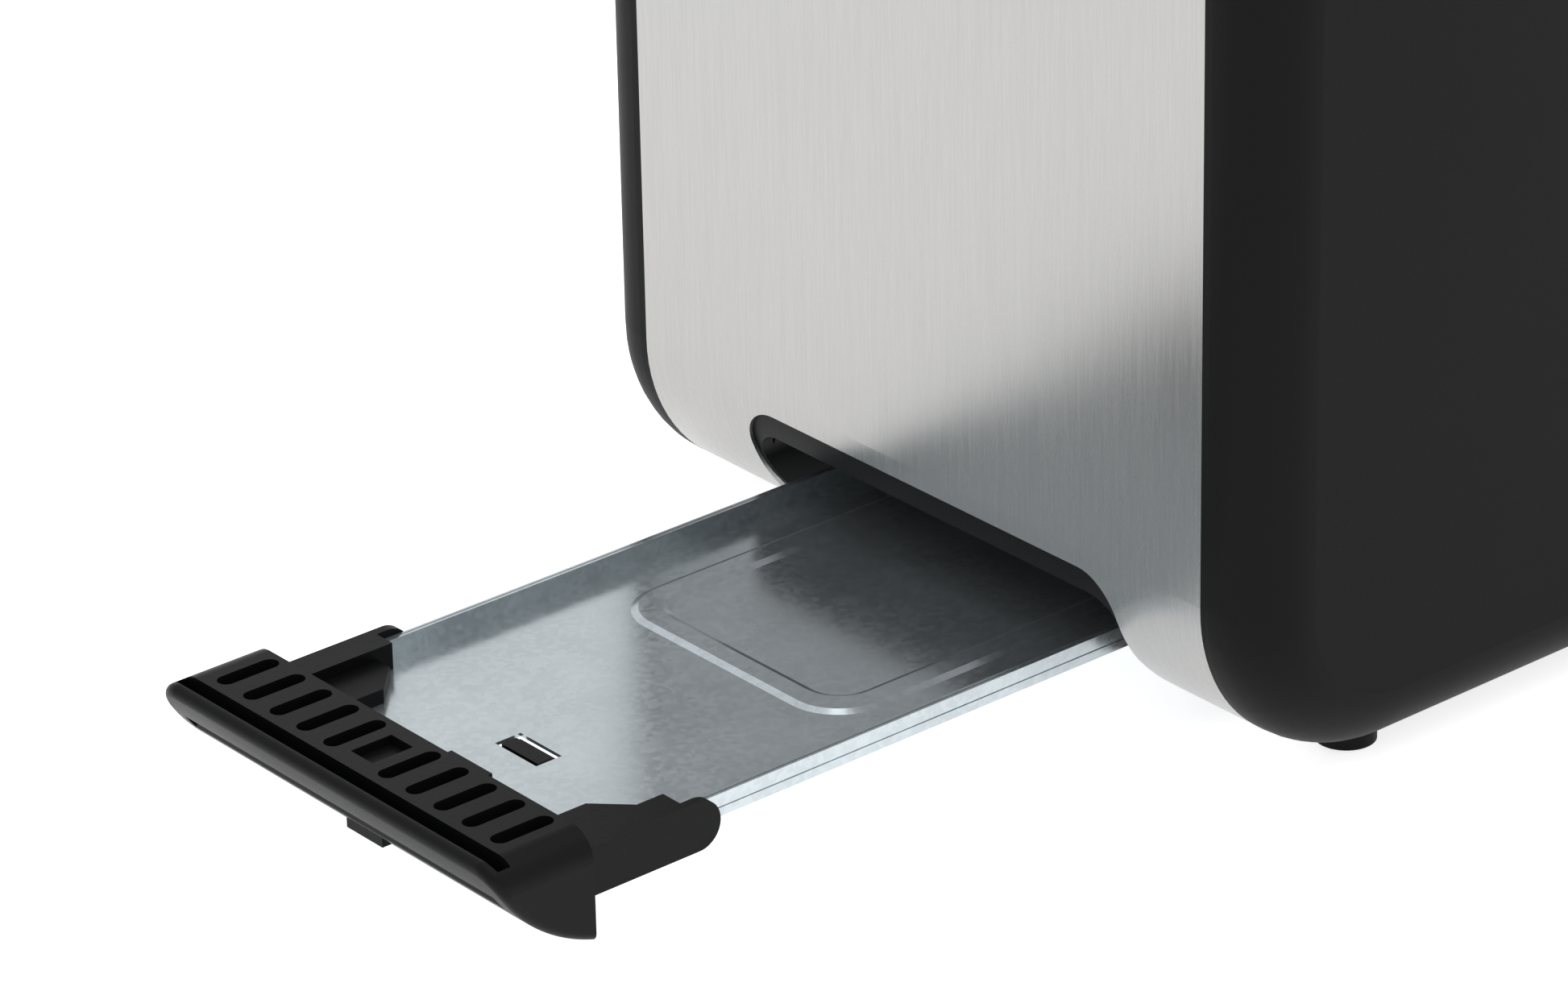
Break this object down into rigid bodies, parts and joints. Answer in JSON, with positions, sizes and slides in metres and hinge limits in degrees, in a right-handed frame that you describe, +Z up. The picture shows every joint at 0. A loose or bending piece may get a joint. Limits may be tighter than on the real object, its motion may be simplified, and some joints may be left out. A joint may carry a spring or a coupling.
{
  "type": "pop up toaster",
  "caption": "Pop up toaster with brushed steel covers, black side panels, bread carriage, lever controls and a pull-out crumb tray with a slotted grip handle.",
  "frame": {"origin": "on the surface the feet stand on, below the middle of the whole pose with the crumb tray pulled out", "axes": "+X along the toaster towards the lever end, -X the way the crumb tray pulls out, -Y the near side, +Z up"},
  "size_m": [0.4278, 0.1658, 0.1912],
  "materials": {
    "steel_shell": "vertical brushed grain, satin",
    "black_panel": "fine moulded texture, matt",
    "handle_plastic": "fine moulded texture, slight sheen",
    "galvanised_sheet": "galvanised, fine spangle, satin",
    "chassis_steel": "plain mill finish",
    "reflector_sheet": "bright rolled",
    "mica": "pressed mica flakes, dull",
    "resistance_ribbon": "oxidised ribbon",
    "guard_wire": "plated wire",
    "iron_parts": "bare iron",
    "copper_winding": "enamelled winding",
    "circuit_board": "solder-masked board",
    "component_plastic": "moulded",
    "control_plastic": "fine moulded texture",
    "button_plastic": "moulded",
    "light_pipe": "clear tinted",
    "rubber_pad": "moulded rubber",
    "screw_steel": "zinc plated"
  },
  "bodies": {
    "toaster_body": {"front_cover": "steel_shell", "top_cover": "steel_shell", "rear_cover": "steel_shell", "side_panel_near": "black_panel", "side_panel_far": "black_panel", "panel_screws": "screw_steel", "tray_bezel": "handle_plastic", "base_plate": "black_panel", "foot_pads": "rubber_pad", "tray_rails": "chassis_steel", "bread_slot_trim_near": "steel_shell", "bread_slot_trim_far": "steel_shell", "reflector_near": "reflector_sheet", "reflector_far": "reflector_sheet", "heater_card_near": "mica", "heater_card_centre": "mica", "heater_card_far": "mica", "element_near": "resistance_ribbon", "element_centre": "resistance_ribbon", "element_far": "resistance_ribbon", "chassis_front": "chassis_steel", "chassis_rear": "chassis_steel", "chassis_top": "chassis_steel", "guide_rod": "guard_wire", "lift_spring": "guard_wire", "electromagnet_core": "iron_parts", "electromagnet_coil": "copper_winding", "control_fascia": "control_plastic", "control_board": "circuit_board", "board_screws": "screw_steel", "potentiometer": "component_plastic", "button_switches": "component_plastic", "indicator_lenses": "light_pipe", "power_switch": "component_plastic", "terminal_block": "component_plastic", "cord_gland": "component_plastic"},
    "crumb_drawer": {"crumb_tray": "galvanised_sheet", "tray_handle": "handle_plastic"},
    "bread_carriage": {"carriage": "chassis_steel", "bread_lifter_near": "chassis_steel", "bread_lifter_far": "chassis_steel", "latch_plate": "iron_parts", "lever_arm": "chassis_steel", "lever_knob": "control_plastic"},
    "guard_near_outer": {"bread_guard_near_outer": "guard_wire"},
    "guard_near_inner": {"bread_guard_near_inner": "guard_wire"},
    "guard_far_inner": {"bread_guard_far_inner": "guard_wire"},
    "guard_far_outer": {"bread_guard_far_outer": "guard_wire"},
    "browning_dial": {"browning_knob": "control_plastic", "dial_shaft": "chassis_steel"},
    "cancel": {"cancel_button": "button_plastic"},
    "reheat": {"reheat_button": "button_plastic"},
    "defrost": {"defrost_button": "button_plastic"}
  },
  "joints": [
    {"name": "tray_slide", "type": "slide", "parent": "toaster_body", "child": "crumb_drawer", "axis": [-1, 0, 0], "range_m": [-0.127, 0.105]},
    {"name": "carriage_lift", "type": "slide", "parent": "toaster_body", "child": "bread_carriage", "axis": [0, 0, -1], "range_m": [0, 0.07], "stiffness_N_per_m": 45, "springref_m": -0.07, "deforming": ["lift_spring"]},
    {"name": "guard_near_outer_close", "type": "slide", "parent": "toaster_body", "child": "guard_near_outer", "axis": [0, 1, 0], "range_m": [0, 0.006]},
    {"name": "guard_near_inner_close", "type": "slide", "parent": "toaster_body", "child": "guard_near_inner", "axis": [0, -1, 0], "range_m": [0, 0.006]},
    {"name": "guard_far_inner_close", "type": "slide", "parent": "toaster_body", "child": "guard_far_inner", "axis": [0, 1, 0], "range_m": [0, 0.006]},
    {"name": "guard_far_outer_close", "type": "slide", "parent": "toaster_body", "child": "guard_far_outer", "axis": [0, -1, 0], "range_m": [0, 0.006]},
    {"name": "browning_turn", "type": "hinge", "parent": "toaster_body", "child": "browning_dial", "pos_m": [0.20012, 0.02, 0.076], "axis": [1, 0, 0], "range_deg": [-135, 135]},
    {"name": "cancel_press", "type": "slide", "parent": "toaster_body", "child": "cancel", "axis": [-1, 0, 0], "range_m": [0, 0.0015], "stiffness_N_per_m": 400, "springref_m": -0.0008},
    {"name": "reheat_press", "type": "slide", "parent": "toaster_body", "child": "reheat", "axis": [-1, 0, 0], "range_m": [0, 0.0015], "stiffness_N_per_m": 400, "springref_m": -0.0008},
    {"name": "defrost_press", "type": "slide", "parent": "toaster_body", "child": "defrost", "axis": [-1, 0, 0], "range_m": [0, 0.0015], "stiffness_N_per_m": 400, "springref_m": -0.0008}
  ],
  "couplings": [
    {"joint": "guard_near_outer_close", "follows": "carriage_lift", "ratio": 0.085714},
    {"joint": "guard_near_inner_close", "follows": "carriage_lift", "ratio": 0.085714},
    {"joint": "guard_far_inner_close", "follows": "carriage_lift", "ratio": 0.085714},
    {"joint": "guard_far_outer_close", "follows": "carriage_lift", "ratio": 0.085714}
  ]
}
